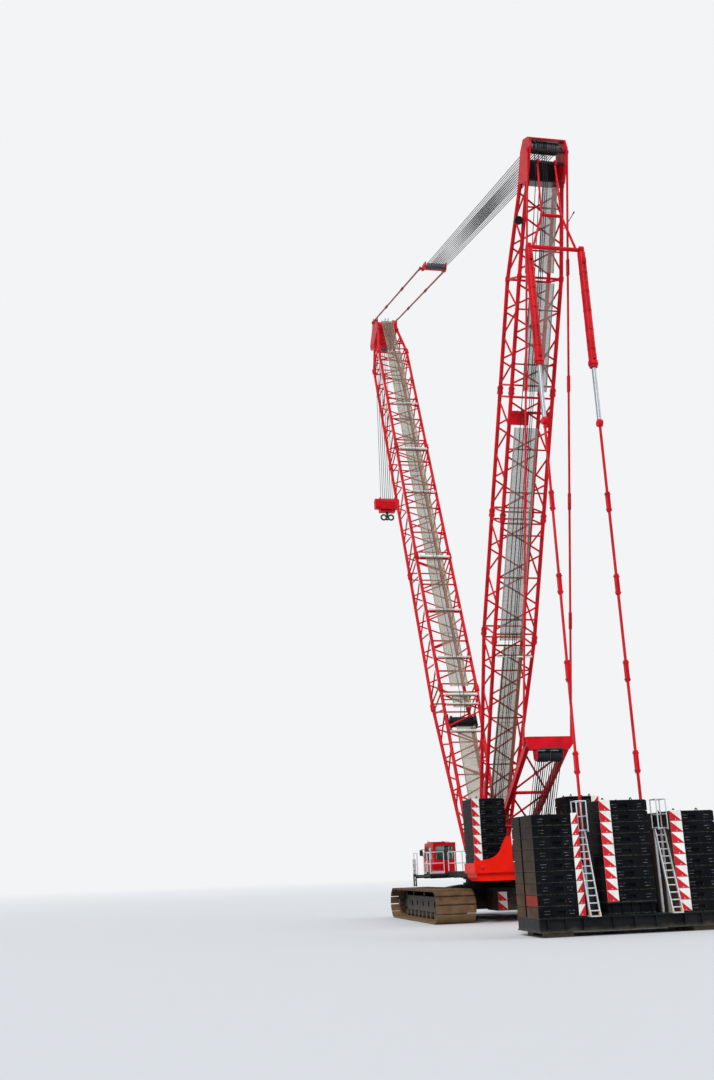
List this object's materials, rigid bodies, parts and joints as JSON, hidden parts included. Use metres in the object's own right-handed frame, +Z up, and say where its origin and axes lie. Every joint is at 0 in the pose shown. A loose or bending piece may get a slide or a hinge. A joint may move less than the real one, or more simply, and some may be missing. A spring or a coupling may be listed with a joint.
{
  "type": "lattice-boom crawler crane with superlift mast, 1:2 scale model",
  "caption": "Crawler crane with a lattice main boom, leaning superlift mast, suspended counterweight tray, slewing platform and a hook block.",
  "frame": {"origin": "on the ground under the slewing axis", "axes": "+X forward, the way the boom points; +Y to the operator's left; +Z up"},
  "size_m": [20.407, 4.74, 23.5093],
  "materials": {
    "crane_red": "signal red gloss paint",
    "carrier_red": "bright red paint",
    "ballast_black": "black paint, chalky edges",
    "chassis_dark": "dark grey paint under dust",
    "shoe_steel": "cast shoes, dusty",
    "grating": "weathered grating",
    "machined": "bare steel",
    "chrome_rod": "plated rod",
    "rope": "greased wire rope",
    "rail": "galvanised"
  },
  "bodies": {
    "undercarriage": {"car_body": "chassis_dark", "track_frame_left": "chassis_dark", "track_frame_right": "chassis_dark", "track_left": "shoe_steel", "track_right": "shoe_steel"},
    "superstructure": {"slewing_platform": "crane_red", "power_pack": "crane_red", "cab_shell": "crane_red", "cab_platform": "chassis_dark", "counterweight_carrier": "carrier_red", "deck_stack_left": "ballast_black", "deck_stack_right": "ballast_black"},
    "door": {"cab_door": "crane_red"},
    "hoist_winch": {"hoist_drum": "machined"},
    "boom_winch": {"boom_hoist_drum": "machined"},
    "gantry": {"a_frame": "crane_red"},
    "boom": {"boom_foot": "crane_red", "boom_insert_lower": "crane_red", "boom_insert_middle": "crane_red", "boom_insert_upper": "crane_red", "boom_head": "crane_red", "boom_head_block": "crane_red", "boom_catwalk": "grating"},
    "boom_sheaves": {"boom_head_sheaves": "machined"},
    "hoist_line": {"hoist_ropes": "rope"},
    "block": {"hook_block": "crane_red"},
    "ramshorn": {"hook": "machined"},
    "boom_stay": {"equaliser": "crane_red", "boom_pendants": "rope"},
    "rope_band": {"stay_ropes": "rope"},
    "mast": {"mast_foot": "crane_red", "mast_insert_lower": "crane_red", "mast_insert_upper": "crane_red", "mast_head": "crane_red", "mast_head_block": "crane_red", "mast_catwalk": "grating"},
    "mast_sheaves": {"mast_head_sheaves": "machined"},
    "backstay": {"backstays": "crane_red"},
    "superlift_hanger": {"spreader": "crane_red", "superlift_cylinders": "crane_red"},
    "superlift_pendant": {"superlift_rods": "crane_red"},
    "superlift_tray": {"tray_frame": "chassis_dark", "tray_stack_left": "ballast_black", "tray_stack_middle": "ballast_black", "tray_stack_right": "ballast_black", "tray_ladders": "rail"}
  },
  "joints": [
    {"name": "slew", "type": "hinge", "parent": "undercarriage", "child": "superstructure", "pos_m": [0, 0, 1.01], "axis": [0, 0, 1], "continuous": true},
    {"name": "cab_door_swing", "type": "hinge", "parent": "superstructure", "child": "door", "pos_m": [0.328, 1.668, 1.565], "axis": [0, 0, 1], "range_deg": [0, 95]},
    {"name": "hoist_drum_turn", "type": "hinge", "parent": "superstructure", "child": "hoist_winch", "pos_m": [-1.25, 0, 1.6], "axis": [0, 1, 0], "continuous": true},
    {"name": "boom_drum_turn", "type": "hinge", "parent": "superstructure", "child": "boom_winch", "pos_m": [-2.05, 0, 1.6], "axis": [0, 1, 0], "continuous": true},
    {"name": "boom_luff", "type": "hinge", "parent": "superstructure", "child": "boom", "pos_m": [0.85, 0, 1.48], "axis": [0, 1, 0], "range_deg": [-17.7, 36.3]},
    {"name": "mast_luff", "type": "hinge", "parent": "superstructure", "child": "mast", "pos_m": [0.06, 0, 1.64], "axis": [0, 1, 0], "range_deg": [-1.5, 6]},
    {"name": "gantry_lift", "type": "hinge", "parent": "superstructure", "child": "gantry", "pos_m": [-0.76, 0, 1.5], "axis": [0, 1, 0], "range_deg": [-1.92, 7.68]},
    {"name": "boom_sheaves_turn", "type": "hinge", "parent": "boom", "child": "boom_sheaves", "pos_m": [11.09977, 0, 22.59053], "axis": [0, 1, 0], "continuous": true},
    {"name": "hoist_line_hang", "type": "hinge", "parent": "boom", "child": "hoist_line", "pos_m": [11.09977, 0, 22.59053], "axis": [0, 1, 0], "range_deg": [-37.03, 18.05]},
    {"name": "hoist", "type": "slide", "parent": "hoist_line", "child": "block", "axis": [0, 0, 1], "range_m": [-14.3, 5.2], "deforming": ["hoist_ropes"]},
    {"name": "hook_swivel", "type": "hinge", "parent": "block", "child": "ramshorn", "pos_m": [11.29707, 0, 15.2], "axis": [0, 0, 1], "continuous": true},
    {"name": "boom_stay_swing", "type": "hinge", "parent": "boom", "child": "boom_stay", "pos_m": [10.45655, 0, 23.36434], "axis": [0, 1, 0], "range_deg": [-10.74, 5.24]},
    {"name": "rope_band_run", "type": "slide", "parent": "boom_stay", "child": "rope_band", "axis": [0.9636, 0, 0.2675], "range_m": [-11.39, 5.5538], "deforming": ["stay_ropes"]},
    {"name": "mast_sheaves_turn", "type": "hinge", "parent": "mast", "child": "mast_sheaves", "pos_m": [-8.03233, 0, 18.23174], "axis": [0, 1, 0], "continuous": true},
    {"name": "backstay_swing", "type": "hinge", "parent": "mast", "child": "backstay", "pos_m": [-8.25375, 0, 18.00136], "axis": [0, 1, 0], "range_deg": [-0.3672, 0.0918]},
    {"name": "hanger_swing", "type": "hinge", "parent": "mast", "child": "superlift_hanger", "pos_m": [-8.10987, 0, 17.76769], "axis": [0, 1, 0], "range_deg": [-6.12, 1.53]},
    {"name": "rod_stroke", "type": "slide", "parent": "superlift_hanger", "child": "superlift_pendant", "axis": [0, 0, 1], "range_m": [0, 0.5]},
    {"name": "tray_lift", "type": "slide", "parent": "superstructure", "child": "superlift_tray", "axis": [0, 0, 1], "range_m": [0, 0.45]}
  ],
  "couplings": [
    {"joint": "gantry_lift", "follows": "mast_luff", "ratio": 1.255},
    {"joint": "backstay_swing", "follows": "mast_luff", "ratio": -0.06},
    {"joint": "hanger_swing", "follows": "mast_luff", "ratio": -1},
    {"joint": "hoist_line_hang", "follows": "boom_luff", "ratio": -1},
    {"joint": "boom_stay_swing", "follows": "boom_luff", "ratio": -0.29},
    {"joint": "rope_band_run", "follows": "boom_luff", "m_per_rad": -17.8},
    {"joint": "rod_stroke", "follows": "tray_lift", "ratio": 1}
  ]
}
